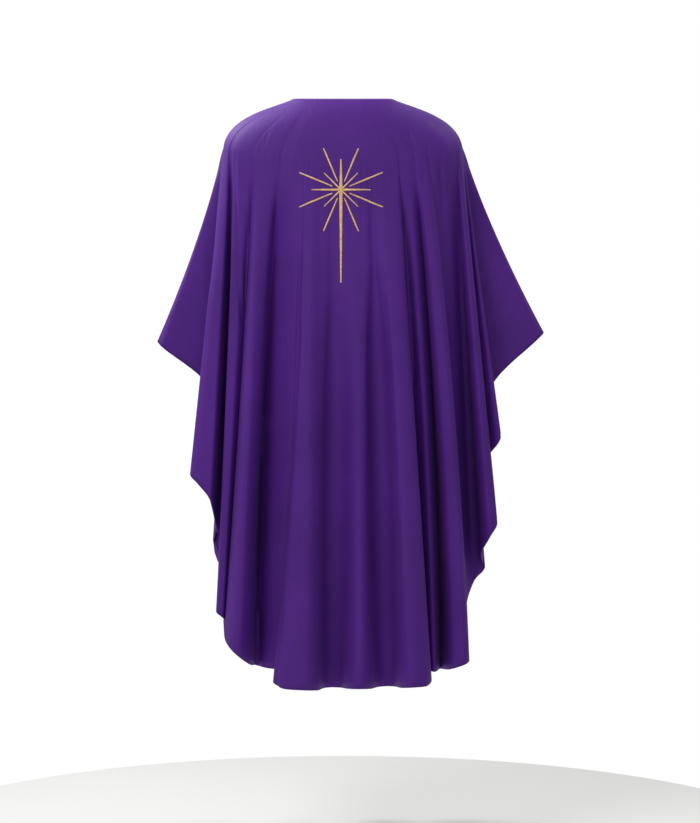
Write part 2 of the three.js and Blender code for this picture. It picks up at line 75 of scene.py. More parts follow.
# %% The folds of the back and the front
BACK_FOLDS = [
    (-90, -416, 0, -531, 0, 10),
    (-89, -403, 12, -543, 0, 9),
    (-86, -300, 6, -632, 0.3, 2),
    (-80, -334, 84, -822, 0.3, 0),
    (-75, -317, 104, -842, 0.4, 0),
    (-69.5, -291, 114, -876, 0.5, 0),
    (-66.5, -281, 42, -946, 1, 6),
    (-63.8, -270, 36, -990, 1, 6),
    (-61, -276, 90, -1118, 0.9, 6),
    (-56, -271, 128, -1124, 0.6, 0),
    (-49, -263, 130, -1131, 0.6, 0),
    (-42.5, -260, 104, -1140, 0.9, 4),
    (-40, -254, 144, -1176, 0.6, 4),
    (-36, -226, 192, -1207, 0.5, 0),
    (-29, -202, 164, -1229, 0.6, -6),
    (-23.5, -190, 84, -1241, 0.9, -14),
    (-19, -168, 112, -1243, 0.3, -4),
    (-15.6, -132, 134, -1246, -0.8, 8),
    (-12.8, -146, 204, -1262, -0.8, 10),
    (-11.2, -121, 246, -1271, 0, 4),
    (-9, -80, 258, -1272, 0, 0),
    (-4.5, -42, 236, -1275, -0.5, 0),
    (-1.5, -20, 178, -1278, -0.8, 0),
    (1, 4, 220, -1274, -0.8, 0),
    (4.2, 36, 246, -1271, -0.8, 0),
    (6, 68, 226, -1273, -0.5, 0),
    (8, 95, 174, -1276, -0.5, 0),
    (10, 121, 230, -1271, 0, 0),
    (12.5, 148, 252, -1267, 0.2, 0),
    (17, 177, 238, -1266, 0.3, 0),
    (19.8, 188, 205, -1259, 0.6, 0),
    (21.2, 189, 116, -1247, 0.8, 0),
    (25.5, 198, 148, -1247, 0.9, 8),
    (30, 215, 76, -1249, 0.9, 14),
    (33, 240, 162, -1238, 0.8, 12),
    (36, 261, 168, -1230, 0.8, 12),
    (38.5, 272, 146, -1224, 0.8, 12),
    (40.5, 268, 100, -1212, 0.8, 8),
    (47, 264, 84, -1190, 0.8, 2),
    (56, 272, 54, -1110, 0.7, 0),
    (62.5, 292, 20, -1062, 0.9, 2),
    (67, 314, 20, -1030, 0.9, 2),
    (70, 307, 60, -1000, 0.6, 2),
    (73.5, 325, 104, -954, 0.5, 0),
    (76.4, 337, 92, -930, 0.5, 0),
    (79.5, 322, 44, -790, 0.3, 0),
    (83, 347, 74, -743, 0.3, 0),
    (86.5, 325, 6, -650, 0.2, -2),
    (89.2, 438, 11, -522, 0, -9),
    (90, 450, 0, -511, 0, -10),
]
FRONT_FOLDS = [
    (-90, -416, 0, -531, 0, 10),
    (-88, -403, 14, -543, 0, 9),
    (-84, -300, 20, -640, 0, 0),
    (-76, -326, 104, -800, 0.3, 0),
    (-70, -268, 46, -900, 0.5, 0),
    (-63, -300, 142, -994, 0.5, 0),
    (-52, -236, 74, -1120, 0.6, 0),
    (-42, -216, 200, -1205, 0.4, 0),
    (-35, -190, 148, -1225, 0.4, 0),
    (-29, -166, 58, -1238, 0.5, 0),
    (-22, -148, 116, -1246, 0.3, 0),
    (-17, -112, 234, -1260, 0, 0),
    (-11, -76, 250, -1264, -0.3, 0),
    (-6, -42, 176, -1268, -0.6, 0),
    (-1, -6, 150, -1270, -0.6, 0),
    (4, 32, 220, -1267, -0.6, 0),
    (10, 70, 252, -1264, -0.3, 0),
    (15, 102, 236, -1260, 0, 0),
    (20, 132, 118, -1248, 0.3, 0),
    (27, 154, 56, -1240, 0.5, 0),
    (33, 190, 166, -1228, 0.4, 0),
    (39, 208, 206, -1218, 0.4, 0),
    (48, 228, 74, -1150, 0.6, 0),
    (56, 285, 138, -1082, 0.5, 0),
    (63, 324, 116, -1042, 0.5, 0),
    (70, 290, 50, -930, 0.4, 0),
    (77, 337, 102, -800, 0.3, 0),
    (84, 318, 20, -640, 0, 0),
    (88.5, 435, 14, -524, 0, -9),
    (90, 450, 0, -511, 0, -10),
]
print("rows:", len(BACK_FOLDS), "on the back,", len(FRONT_FOLDS), "on the front")

# %% [markdown]
# The curve between rows is a monotone cubic: it passes through every row and has no bumps of its
# own. Real folds are rounded at the crest and pinched in the valley, and this gives both.

# %% A smooth curve through the rows
def curve_through(xs, ys):
    xs, ys = np.asarray(xs, float), np.asarray(ys, float)
    step = np.diff(xs)
    slope = np.diff(ys) / step
    tangent = np.zeros_like(ys)
    tangent[0], tangent[-1] = slope[0], slope[-1]
    for i in range(1, len(xs) - 1):
        before, after = slope[i - 1], slope[i]
        if before * after > 0:
            w1, w2 = 2 * step[i] + step[i - 1], step[i] + 2 * step[i - 1]
            tangent[i] = (w1 + w2) / (w1 / before + w2 / after)

    def value(x):
        i = np.clip(np.searchsorted(xs, x, side="right") - 1, 0, len(xs) - 2)
        t = (x - xs[i]) / step[i]
        return (
            (2 * t**3 - 3 * t**2 + 1) * ys[i]
            + (t**3 - 2 * t**2 + t) * step[i] * tangent[i]
            + (3 * t**2 - 2 * t**3) * ys[i + 1]
            + (t**3 - t**2) * step[i] * tangent[i + 1]
        )

    return value


print("half way from 0 to 1, then level:", curve_through([0, 1, 2], [0, 1, 1])(np.array([0.5])))

# %% [markdown]
# Now the drape itself. A column of the grid starts on the neckline, rounds over the shoulder to the
# yoke, and falls straight to the hem. The columns are packed close round the crests and valleys,
# where the cloth turns sharply, and the rows are closer over the shoulders. These are the sizes, in
# millimetres. Above the yoke the cloth is smooth, and a fold grows out of it over a short stretch.

# %% The sizes of the drape
NECK_HALF_WIDTH, NECK_RISE = 112, 7
YOKE_HALF_WIDTH, YOKE_SIDE_DROP = 265, 96
YOKE_FOLD_SHARE, SHOULDER_FULLNESS = 0.02, 1.05
HEM_BASE_SIDE, HEM_BASE_SWELL = 30, 178  # how far the cloth would stand out at the hem unfolded
NECK_ROUND, NECK_DIP, YOKE_ROUND = 0.6, 1.3, 0.75  # powers: below 1 is squarer than an oval
YOKE_BULGE, HEM_BULGE = 0.55, 0.8
OVER_ACROSS, OVER_OUT, OVER_SINK = 0.95, 0.75, 0.3  # the way the cloth leaves the neck
HALF_SEAM_GAP = 0.15
PANEL_DEPTH = 2.0  # the part's shell; the cloth is its outer face
HEM_TURN = 25
SHAPES = {
    "back": dict(folds=BACK_FOLDS, side=-1, yoke_depth=128, yoke_drop=150, neck_depth=70, neck_drop=6),
    "front": dict(folds=FRONT_FOLDS, side=1, yoke_depth=123, yoke_drop=190, neck_depth=60, neck_drop=120),
}
FOLD_FADE, SHORTEST_FADE = 0.12, 0.001  # share of the fall over which a fold grows at the yoke
EVENED_OVER = (3, 2)  # rows to either side, in two passes
PER_FOLD, SHOULDER_ROWS, FALL_ROWS = 8, 32, 78
print("rows of the grid:", SHOULDER_ROWS, "over the shoulder,", FALL_ROWS + 1, "below it")

# %% [markdown]
# Four small helpers follow. The one named evened averages neighbours. It takes the folds out of the
# direction in which the cloth leaves the yoke, so that no crease runs up over the shoulder.

# %% Helpers for the drape


def signed_power(value, power):
    """A power that keeps the sign of its value."""
    return np.sign(value) * np.abs(value) ** power


def fade_in(share):
    """A soft step from 0 to 1 as share goes from 0 to 1."""
    share = np.minimum(1, share)
    return share * share * (3 - 2 * share)


def evened(values, reach):
    """Each row of values averaged with its neighbours, as far as reach on both sides."""
    window = np.ones(2 * reach + 1) / (2 * reach + 1)
    padded = np.pad(values, ((reach, reach), (0, 0)), mode="edge")
    return np.stack([np.convolve(column, window, "valid") for column in padded.T], 1)


def unit(v):
    """Vectors of length 1; one of no length stays as it is."""
    return v / np.maximum(np.linalg.norm(v, axis=-1, keepdims=True), 1e-9)


# %% [markdown]
# The drape puts these together. Over the shoulder each column is one curve with a given direction at
# both ends, and below the yoke it is a straight fall, to which the fold and the bow are added.

# %% The drape of one panel
def drape(folds, side, yoke_depth, yoke_drop, neck_depth, neck_drop):
    """The inner face of a panel in mm, an array of rows x columns x 3."""
    angle, across, out, height, start, bow = np.array(folds, float).T
    steps = np.sqrt(np.diff(across) ** 2 + np.diff(out) ** 2 + np.diff(height) ** 2)
    run = np.concatenate([[0], np.cumsum(steps)])
    u = np.interp(np.arange((len(run) - 1) * PER_FOLD + 1) / PER_FOLD, np.arange(len(run)), run)
    angle, across, out, height, start, bow = (
        curve_through(run, column)(u) for column in (np.radians(angle), across, out, height, start, bow)
    )
    s, c = np.sin(angle), np.maximum(0, np.cos(angle))
    base = HEM_BASE_SIDE + HEM_BASE_SWELL * c**HEM_BULGE
    fold = out - base
    neck = np.stack(
        [
            NECK_HALF_WIDTH * signed_power(s, NECK_ROUND),
            neck_depth * c**NECK_ROUND,
            NECK_RISE - neck_drop * c**NECK_DIP,
        ],
        1,
    )
    yoke = np.stack(
        [
            YOKE_HALF_WIDTH * signed_power(s, YOKE_ROUND),
            yoke_depth * c**YOKE_BULGE + np.maximum(0, start) * YOKE_FOLD_SHARE * fold,
            -YOKE_SIDE_DROP - (yoke_drop - YOKE_SIDE_DROP) * c,
        ],
        1,
    )
    fall = np.stack([across, base, height], 1) - yoke
    leave = fall
    for spread in EVENED_OVER:
        leave = evened(leave, spread * PER_FOLD)
    leave = unit(leave)
    reach = np.linalg.norm(yoke - neck, axis=1, keepdims=True) * SHOULDER_FULLNESS
    over = unit(np.stack([OVER_ACROSS * s, OVER_OUT * c, -OVER_SINK * np.abs(s) - OVER_OUT * c], 1))
    rows = []
    for t in np.linspace(0, 1, SHOULDER_ROWS, endpoint=False):
        rows.append(
            (2 * t**3 - 3 * t**2 + 1) * neck
            + (t**3 - 2 * t**2 + t) * reach * over
            + (3 * t**2 - 2 * t**3) * yoke
            + (t**3 - t**2) * reach * leave
        )
    for t in np.linspace(0, 1, FALL_ROWS + 1):
        row = yoke + fall * t
        row[:, 0] += 4 * bow * t * (1 - t) * fade_in(t / FOLD_FADE)
        grown = fade_in(t / (FOLD_FADE * c + SHORTEST_FADE))
        row[:, 1] += fold * t * (1 + start * (1 - t)) * grown
        rows.append(row)
    points = np.array(rows)
    points[..., 1] = side * np.maximum(0, points[..., 1]) + side * HALF_SEAM_GAP
    return points


def grid_normals(points, side):
    """The outward direction of the cloth at each point of a grid."""
    down = np.gradient(points, axis=0)
    right = np.gradient(points, axis=1)
    return unit(np.cross(down, right)) * -side


# %% [markdown]
# Each piece of cloth is a grid of points, so a short helper turns a grid into a mesh. It also lays a
# UV map in metres, measured along the cloth itself: the weave then keeps one spacing on every
# fold.

# %% A grid of points as a mesh
def arc_lengths(points, axis):
    """How far each point of a grid is from the first one of its row or column, along the cloth."""
    steps = np.linalg.norm(np.diff(points, axis=axis), axis=2)
    pad = [(0, 0), (0, 0)]
    pad[axis] = (1, 0)
    return np.cumsum(np.pad(steps, pad), axis=axis)


def cloth_object(name, points, side):
    """A sheet through a grid of points in mm, with its faces outwards."""
    rows, columns = points.shape[:2]
    index = np.arange(rows * columns).reshape(rows, columns)
    corners = [index[:-1, :-1], index[:-1, 1:], index[1:, 1:], index[1:, :-1]]
    if side > 0:
        corners = corners[::-1]
    faces = np.stack(corners, -1).reshape(-1, 4)
    mesh = bpy.data.meshes.new(name)
    mesh.from_pydata((points.reshape(-1, 3) * MM).tolist(), [], faces.tolist())
    across = arc_lengths(points, 1)
    across -= across[:, columns // 2][:, None]
    down = arc_lengths(points, 0)
    uv = np.stack([across, -down], -1).reshape(-1, 2) * MM
    layer = mesh.uv_layers.new(name="weave")
    layer.data.foreach_set("uv", uv[faces.reshape(-1)].ravel())
    for polygon in mesh.polygons:
        polygon.use_smooth = True
    piece = bpy.data.objects.new(name, mesh)
    bpy.context.collection.objects.link(piece)
    return piece


def select_only(*pieces):
    """Select these pieces alone; the first one is active."""
    bpy.ops.object.select_all(action="DESELECT")
    for piece in pieces:
        piece.select_set(True)
    bpy.context.view_layer.objects.active = pieces[0]


def apply_all(piece):
    select_only(piece)
    for modifier in list(piece.modifiers):
        bpy.ops.object.modifier_apply(modifier=modifier.name)


def thicken(piece, thickness):
    """Give a sheet its thickness in mm, inwards from its face."""
    solidify = piece.modifiers.new("thickness", "SOLIDIFY")
    solidify.thickness = thickness * MM
    solidify.offset = -1
    solidify.use_even_offset = False
    apply_all(piece)


# %% [markdown]
# Where the cloth turns over the shoulder it also pinches: short grooves that run down from the yoke
# and die out between the big folds. Low in the middle of the back one fine groove and two wide,
# soft ones deepen the valleys. Each is a line on the panel, seen from its own side, with a width and
# a depth, and a narrow one has a low ridge on both sides.

# %% Pinches under the shoulders
PINCHES = {  # points (across, height) in mm, then width and depth
    "back": [
        ([(-238, -112), (-233, -336), (-220, -510)], 6, 3.5),
        ([(-126, -104), (-136, -132), (-132, -160)], 5, 1.0),
        ([(-142, -112), (-150, -150)], 5, 0.8),
        ([(-176, -84), (-187, -150)], 6, 1.0),
        ([(-162, -70), (-176, -118)], 6, 0.8),
        ([(-90, -470), (-96, -556), (-109, -770), (-124, -985), (-140, -1260), (-150, -1700)], 6, 5),
        ([(-6, -430), (-11, -663), (-22, -1210), (-36, -1900)], 34, 20),
        ([(70, -380), (77, -610), (87, -1093), (104, -1800)], 34, 20),
        ([(128, -40), (150, -90), (168, -134)], 6, 1.2),
        ([(183, -96), (192, -175)], 6, 1.0),
        ([(213, -118), (222, -336)], 9, 2.6),
        ([(-284, -250), (-300, -430)], 12, 2.0),
    ],
    "front": [
        ([(-232, -118), (-226, -330)], 6, 3.0),
        ([(-150, -112), (-162, -180)], 5, 2.2),
        ([(-96, -170), (-104, -260)], 6, 1.8),
        ([(92, -165), (104, -240)], 6, 1.8),
        ([(148, -110), (166, -170)], 5, 2.4),
        ([(226, -120), (232, -340)], 7, 3.0),
    ],
}
NARROW, LIP = 12, 0.9  # a groove narrower than this has a lip, by this share of its depth
ENDS = 0.7  # power: how bluntly a groove ends


def pinched(points, normals, pinches):
    """The points of a grid, moved inwards along each groove."""
    flat = points[..., [0, 2]]
    moved = points.copy()
    for line, width, depth in pinches:
        line = np.array(line, float)
        best, share = np.full(flat.shape[:2], np.inf), np.zeros(flat.shape[:2])
        for k in range(len(line) - 1):
            way = line[k + 1] - line[k]
            t = np.clip(((flat - line[k]) @ way) / (way @ way), 0, 1)
            gap = np.linalg.norm(flat - line[k] - t[..., None] * way, axis=-1)
            nearer = gap < best
            best = np.where(nearer, gap, best)
            share = np.where(nearer, (k + t) / (len(line) - 1), share)
        lip = LIP if width < NARROW else 0
        section = (1 - lip * (best / width) ** 2) * np.exp(-((best / width) ** 2))
        moved -= normals * (depth * section * np.sin(math.pi * share) ** ENDS)[..., None]
    return moved


print("grooves:", {end: len(lines) for end, lines in PINCHES.items()})

# %% [markdown]
# A ruled surface is too perfect to be cloth. So each panel is handed to Blender's cloth simulation
# for a short while: it is held softly near its drape, given a touch more cloth than the drape
# needs, and left to sag under its own weight. The slack gathers into the small uneven ripples that
# cloth has between its big folds. The shoulders and the shoulder line are held firmly.

# %% Let the panels settle
SETTLE_FRAMES = 14
SPARE_CLOTH = 0.004  # share by which the cloth is longer than its drape
HOLD_FALL, HOLD_YOKE, HOLD_SHOULDER = 0.30, 0.55, 0.9
HELD_COLUMNS = 6  # beside the shoulder line


def settle(piece, rows, columns):
    """Run the cloth simulation on a panel, and return its grid where it came to rest."""
    hold = np.full((rows, columns), HOLD_FALL)
    hold[: SHOULDER_ROWS // 2] = HOLD_SHOULDER
    hold[SHOULDER_ROWS // 2 : SHOULDER_ROWS] = HOLD_YOKE
    hold[:, :HELD_COLUMNS] = hold[:, -HELD_COLUMNS:] = HOLD_SHOULDER
    hold[:, 0] = hold[:, -1] = 1
    hold[0] = 1
    group = piece.vertex_groups.new(name="held")
    for weight in np.unique(hold):
        group.add(np.flatnonzero(hold.ravel() == weight).tolist(), float(weight), "REPLACE")
    cloth = piece.modifiers.new("settle", "CLOTH")
    settings = cloth.settings
    settings.vertex_group_mass = "held"
    settings.quality = 6
    settings.mass = 0.15
    settings.tension_stiffness = settings.compression_stiffness = 12
    settings.shear_stiffness = 6
    settings.bending_stiffness = 4
    settings.pin_stiffness = 0.4
    settings.shrink_min = -SPARE_CLOTH
    settings.air_damping = 2
    cloth.collision_settings.use_collision = False
    cloth.collision_settings.use_self_collision = False
    cloth.point_cache.frame_start, cloth.point_cache.frame_end = 1, SETTLE_FRAMES
    for number in range(1, SETTLE_FRAMES + 1):
        bpy.context.scene.frame_set(number)
    apply_all(piece)
    bpy.context.scene.frame_set(1)
    settled = np.empty(rows * columns * 3)
    piece.data.vertices.foreach_get("co", settled)
    return settled.reshape(rows, columns, 3) / MM


# %% [markdown]
# Now both panels are made: the drape, pushed out to the face of the cloth, pinched, turned into a
# mesh and settled. Where the two meet on the shoulder seam, they come down to one line.

# %% Make the panels
CLOTH_THICK = 0.8
SEAM_DEPTH, SEAM_COLUMNS = 0.5, 6  # a panel comes down to its shoulder seam over six columns
outer, panel = {}, {}
for end, shape in SHAPES.items():
    inner = drape(**shape)
    from_seam = np.arange(inner.shape[1])
    from_seam = np.minimum(from_seam, from_seam[::-1])
    depth = SEAM_DEPTH + (PANEL_DEPTH - SEAM_DEPTH) * np.minimum(1, from_seam / SEAM_COLUMNS)
    face = inner + depth[None, :, None] * grid_normals(inner, shape["side"])
    outer[end] = pinched(face, grid_normals(face, shape["side"]), PINCHES[end])
    panel[end] = cloth_object(f"{end}_cloth", outer[end], shape["side"])
    before = outer[end]
    outer[end] = settle(panel[end], *before.shape[:2])
    moved = np.linalg.norm(outer[end] - before, axis=2)
    print(end, "settled: mean move", round(moved.mean(), 2), "mm, most", round(moved.max(), 2))
    print(end, "grid", outer[end].shape[:2])

# %% [markdown]
# Hex colours are how people name colours on a screen, but a shader adds light in linear units, so one
# function converts them. Another adds a shader node with its settings and links in one call.

# %% Colour and node helpers
def linear(hex_colour):
    values = [int(hex_colour[i : i + 2], 16) / 255 for i in (1, 3, 5)]
    return [v / 12.92 if v <= 0.04045 else ((v + 0.055) / 1.055) ** 2.4 for v in values] + [1]


print("mid grey on a screen, as light:", [round(v, 3) for v in linear("#808080")])


def add_node(tree, kind, settings=None, **inputs):
    """Add a node: settings are its own properties, inputs its sockets by name or, as _0, by number."""
    node = tree.nodes.new(kind)
    for key, value in (settings or {}).items():
        setattr(node, key, value)
    for key, value in inputs.items():
        socket = node.inputs[int(key[1:])] if key[0] == "_" else node.inputs[key.replace("_", " ")]
        if isinstance(value, bpy.types.NodeSocket):
            tree.links.new(value, socket)
        else:
            socket.default_value = value
    return node


def new_material(name, **shader_values):
    material = bpy.data.materials.new(name)
    material.use_nodes = True
    shader = material.node_tree.nodes["Principled BSDF"]
    for key, value in shader_values.items():
        shader.inputs[key.replace("_", " ")].default_value = value
    return material, material.node_tree, shader


# %% [markdown]
# The vestment is a plain-woven polyester: smooth, matt, and a little brighter at a grazing angle,
# where the fine fibre ends catch the light. That glow is the shader's sheen. The real threads are
# about 0.35 mm apart, too fine to show, so the weave is drawn much coarser, 6.6 mm from rib to rib,
# low and soft. Faint slubs run along it, about 4 mm across and 70 mm long, and a slow cloudy change
# of tone stands for the uneven way cloth takes dye and light. At scale 1 the wave texture draws a
# band every 2 pi / 20 of a unit, so a step in millimetres is turned into a scale by a function.

# %% Woven polyester
WEAVE_STEP = 6.597  # mm; the real 0.35 mm is too fine to show
SLUBS = (260, 14, 1)  # per metre, across and along the thread


def wave_scale(step):
    """The scale of a wave texture on a map in metres, for bands that repeat every step mm."""
    return 2 * math.pi / 20 / (step * MM)


def woven(name, colour, dark, roughness, sheen):
    """Plain-woven cloth whose tone changes between two colours."""
    finish = dict(Roughness=roughness, Sheen_Weight=sheen, Sheen_Roughness=0.45)
    material, tree, shader = new_material(name, **finish, Specular_IOR_Level=0.28, IOR=1.48)
    shader.inputs["Sheen Tint"].default_value = linear("#B896DC")
    weave = add_node(tree, "ShaderNodeUVMap", {"uv_map": "weave"}).outputs[0]
    place = add_node(tree, "ShaderNodeTexCoord").outputs["Object"]
    threads = []
    for turn in (0, math.radians(90)):
        turned = add_node(tree, "ShaderNodeMapping", Vector=weave, Rotation=(0, 0, turn)).outputs[0]
        wave = add_node(
            tree,
            "ShaderNodeTexWave",
            {"wave_type": "BANDS", "bands_direction": "X"},
            Vector=turned,
            Scale=wave_scale(WEAVE_STEP),
            Distortion=0.6,
            Detail_Scale=0.5,
        )
        threads.append(wave.outputs["Fac"])
    multiply, add_on = {"operation": "MULTIPLY"}, {"operation": "MULTIPLY_ADD"}
    cross = add_node(tree, "ShaderNodeMath", multiply, _0=threads[0], _1=threads[1]).outputs[0]
    cloud = add_node(tree, "ShaderNodeTexNoise", Vector=place, Scale=5.0, Detail=3.0, Roughness=0.55)
    drawn_out = add_node(tree, "ShaderNodeMapping", Vector=weave, Scale=SLUBS).outputs[0]
    slub = add_node(tree, "ShaderNodeTexNoise", Vector=drawn_out, Scale=1.0, Detail=2.0).outputs["Fac"]
    tone = add_node(tree, "ShaderNodeMath", add_on, _0=slub, _1=0.25, _2=0.0).outputs[0]
    tone = add_node(tree, "ShaderNodeMath", add_on, _0=cloud.outputs["Fac"], _1=0.75, _2=tone).outputs[0]
    ramp = add_node(tree, "ShaderNodeValToRGB", Fac=tone)
    ramp.color_ramp.elements[0].position, ramp.color_ramp.elements[1].position = 0.32, 0.70
    ramp.color_ramp.elements[0].color, ramp.color_ramp.elements[1].color = linear(dark), linear(colour)
    tree.links.new(ramp.outputs[0], shader.inputs["Base Color"])
    fine = add_node(tree, "ShaderNodeBump", Strength=0.12, Distance=0.0003, Height=cross).outputs[0]
    soft = add_node(tree, "ShaderNodeBump", Strength=0.10, Distance=0.004, Height=slub, Normal=fine)
    tree.links.new(soft.outputs[0], shader.inputs["Normal"])
    return material


outer_cloth = woven("woven_polyester", "#541F89", "#49187A", 0.68, 0.06)
# The wrong side is rougher and duller, and its darker colour is partly painted shade: the shadow inside
# the neckline, where the facing shows.
wrong_side_cloth_painted_shade = woven("woven_polyester_wrong_side_painted_shade", "#4A1A78", "#40156B", 0.8, 0.05)
print("weave:", WEAVE_STEP, "mm from rib to rib")

# %% [markdown]
# The embroidery thread is a polyester core wound with a narrow metallised foil. Between the foil and
# the core it is part metal, part silk: pale gold. The bright specks in its colour are painted
# highlights, glints of foil facing the light painted in. The specks are about 0.8 mm, a little
# larger than real, so that they show.

# %% Metallic embroidery thread
def speckled(name, dark, pale, speck_mm, **shader_values):
    """A material whose colour and height change in specks of about speck_mm."""
    material, tree, shader = new_material(name, **shader_values)
    place = add_node(tree, "ShaderNodeTexCoord").outputs["Object"]
    noise, scale = "ShaderNodeTexNoise", 1000 / speck_mm / 2
    speck = add_node(tree, noise, Vector=place, Scale=scale, Detail=2.0, Roughness=0.6).outputs["Fac"]
    patch = add_node(tree, noise, Vector=place, Scale=90.0, Detail=1.0).outputs["Fac"]
    add_on = {"operation": "MULTIPLY_ADD"}
    tone = add_node(tree, "ShaderNodeMath", add_on, _0=patch, _1=0.3, _2=speck).outputs[0]
    ramp = add_node(tree, "ShaderNodeValToRGB", Fac=tone)
    ramp.color_ramp.elements[0].position, ramp.color_ramp.elements[1].position = 0.5, 0.8
    ramp.color_ramp.elements[0].color, ramp.color_ramp.elements[1].color = linear(dark), linear(pale)
    tree.links.new(ramp.outputs[0], shader.inputs["Base Color"])
    bump = add_node(tree, "ShaderNodeBump", Strength=0.25, Distance=0.0002, Height=speck)
    tree.links.new(bump.outputs[0], shader.inputs["Normal"])
    return material


foil = dict(Roughness=0.4, Metallic=0.2, Sheen_Weight=0.1)
# The pale specks of the gold are painted highlights: glints painted into its colour.
gold_thread = speckled("metallised_thread_painted_glints", "#E8AC62", "#FFE6B0", 0.8, **foil)
print("material:", gold_thread.name)

# %% [markdown]
# The small cloths need less. Sewing thread is spun polyester in the purple of the cloth. Stabiliser
# is non-woven: fibres matted and bonded, off-white and quite dull. Twill tape has its slanted ribs,
# and the label is a tight satin ribbon, smoother and a little shiny. Both have ribs finer than a
# millimetre, and here they are drawn several times coarser, so that they show.

# %% Sewing thread, stabiliser, tape and label
spun = dict(Roughness=0.55, Sheen_Weight=0.3)
sewing_thread = speckled("spun_polyester_thread", "#3F2163", "#5B3487", 0.6, **spun)
stabiliser = speckled("nonwoven_stabiliser", "#D6D2C8", "#F1EEE6", 1.5, Roughness=0.95)


def ribbed(name, dark, pale, rib_mm, turn, **shader_values):
    """A narrow woven ribbon: ribs of rib_mm on the weave map, turned by an angle in degrees."""
    material, tree, shader = new_material(name, **shader_values)
    weave = add_node(tree, "ShaderNodeUVMap", {"uv_map": "weave"}).outputs[0]
    turn = (0, 0, math.radians(turn))
    turned = add_node(tree, "ShaderNodeMapping", Vector=weave, Rotation=turn).outputs[0]
    ribs = add_node(
        tree,
        "ShaderNodeTexWave",
        {"wave_type": "BANDS", "bands_direction": "X"},
        Vector=turned,
        Scale=wave_scale(rib_mm),
        Distortion=0.4,
    ).outputs["Fac"]
    ramp = add_node(tree, "ShaderNodeValToRGB", Fac=ribs)
    ramp.color_ramp.elements[0].color, ramp.color_ramp.elements[1].color = linear(dark), linear(pale)
    tree.links.new(ramp.outputs[0], shader.inputs["Base Color"])
    bump = add_node(tree, "ShaderNodeBump", Strength=0.3, Distance=0.0002, Height=ribs).outputs[0]
    tree.links.new(bump, shader.inputs["Normal"])
    return material


TAPE_RIB, LABEL_RIB = 6.283, 3.77  # mm
dull, shiny = dict(Roughness=0.85, Sheen_Weight=0.2), dict(Roughness=0.45, Sheen_Weight=0.2)
twill_tape = ribbed("cotton_twill_tape", "#36204F", "#4B2E6B", TAPE_RIB, 40, **dull)
label_satin = ribbed("satin_label_ribbon", "#E4E0D4", "#F4F1E8", LABEL_RIB, 0, **shiny)
print("materials:", *(m.name for m in (sewing_thread, stabiliser, twill_tape, label_satin)))

# %% [markdown]
# Studio paper is matt and off-white. A little light of its own stands for the lamps that a studio points
# at its background.

# %% Studio paper
studio_paper, paper_tree, paper = new_material("matt_studio_paper", Roughness=1.0, Specular_IOR_Level=0.0)
grain = add_node(paper_tree, "ShaderNodeTexNoise", Scale=400.0, Detail=2.0).outputs["Fac"]
paper_ramp = add_node(paper_tree, "ShaderNodeValToRGB", Fac=grain)
for element, shade in zip(paper_ramp.color_ramp.elements, ("#E2E2DF", "#E8E8E5")):
    element.color = linear(shade)
paper_tree.links.new(paper_ramp.outputs[0], paper.inputs["Base Color"])
paper.inputs["Emission Color"].default_value = linear("#FFFFFF")
paper.inputs["Emission Strength"].default_value = 0.13
print("material:", studio_paper.name)

# %% [markdown]
# With the materials ready, each panel gets its thickness, 0.8 mm, and its finish. A few words of
# bookkeeping go with every finished piece: its material, the body it rides on, and the plain CAD
# nodes that it stands for.

# %% Dress the panels
def dress(piece, material, slot, *replaced):
    """Give a finished piece its material, its body and the CAD nodes it stands for."""
    piece.data.materials.clear()
    piece.data.materials.append(material)
    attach(piece, "root")
    if replaced:
        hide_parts(*replaced)


sewn_on = {end: [] for end in SHAPES}
for end in SHAPES:
    thicken(panel[end], CLOTH_THICK)
    dress(panel[end], outer_cloth, "outer_cloth", f"{end}_panel")
    print(end, "panel:", len(panel[end].data.polygons), "faces")

# %% [markdown]
# The cut edge of a panel is never left raw. At the hem the cloth is turned up inside by 25 mm, and
# at the neck a shaped facing is turned in. Both are the same trick: a strip that starts on the face,
# goes round the edge in a small roll and lies against the wrong side. A short list of stations gives
# its section: how far from the edge along the cloth, and how deep behind the face, in millimetres.

# %% Follow the cloth at a distance from its edge
def beside_edge(end, distance, depth=0.0, edge="hem"):
    """A line along an edge, at a distance from it along the cloth and a depth behind the face."""
    points, normals = outer[end], face_normals[end]
    if edge == "hem":
        points, normals = points[::-1], normals[::-1]
    length = arc_lengths(points, 0)
    line, facing = np.empty(points.shape[1:]), np.empty(points.shape[1:])
    for c in range(points.shape[1]):
        for axis in range(3):
            line[c, axis] = np.interp(distance, length[:, c], points[:, c, axis])
            facing[c, axis] = np.interp(distance, length[:, c], normals[:, c, axis])
    if distance < 0:
        line += unit(points[0] - points[1]) * -distance
    return line - unit(facing) * depth, unit(facing)


def edge_strip(name, end, section, edge):
    """A strip round an edge, one row of points for each station of its section."""
    rows = np.array([beside_edge(end, distance, depth, edge)[0] for distance, depth in section])
    return cloth_object(name, rows[:, 1:-1], SHAPES[end]["side"])


face_normals = {end: grid_normals(outer[end], SHAPES[end]["side"]) for end in SHAPES}
print("back hem along its fold:", round(arc_lengths(outer["back"], 1)[-1, -1]), "mm")

